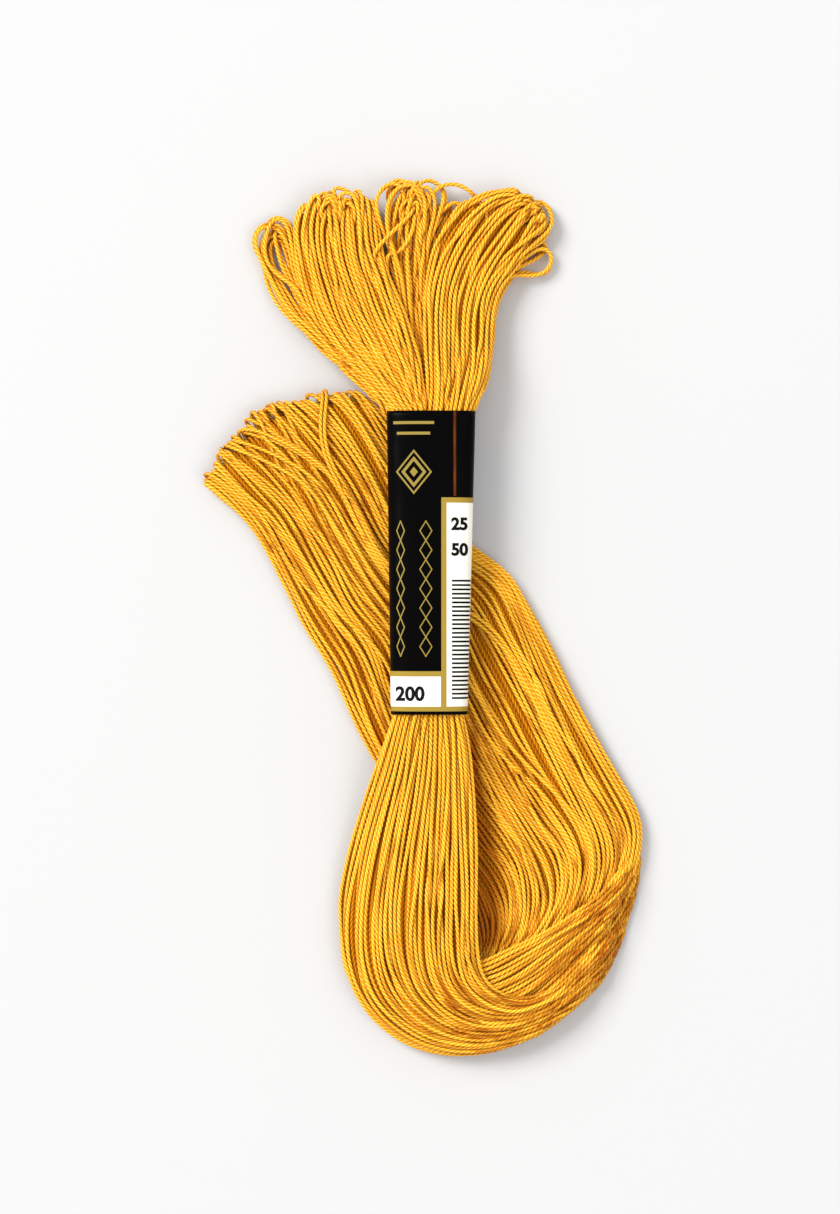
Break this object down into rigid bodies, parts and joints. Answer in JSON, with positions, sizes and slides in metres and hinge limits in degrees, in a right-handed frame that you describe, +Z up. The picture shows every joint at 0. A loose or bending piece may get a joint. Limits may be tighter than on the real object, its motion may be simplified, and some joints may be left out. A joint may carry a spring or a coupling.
{
  "type": "skein of embroidery thread",
  "caption": "Folded hank of twisted embroidery thread with a looped fan at one end, a turned-back bend at the other and a flat paper sleeve round its neck.",
  "frame": {"origin": "on the surface the skein lies on, under the crossing of the folded column and the paper sleeve", "axes": "+Y along the paper sleeve towards the looped fan, +X to the right as seen from above, +Z up from the surface"},
  "size_m": [0.0927, 0.1842, 0.0132],
  "materials": {
    "hank": "lustrous three-ply cotton thread, golden yellow",
    "sleeve": "coated paper printed black, white and gold, low gloss"
  },
  "bodies": {
    "root": {"hank": "hank", "sleeve": "sleeve"}
  },
  "joints": []
}
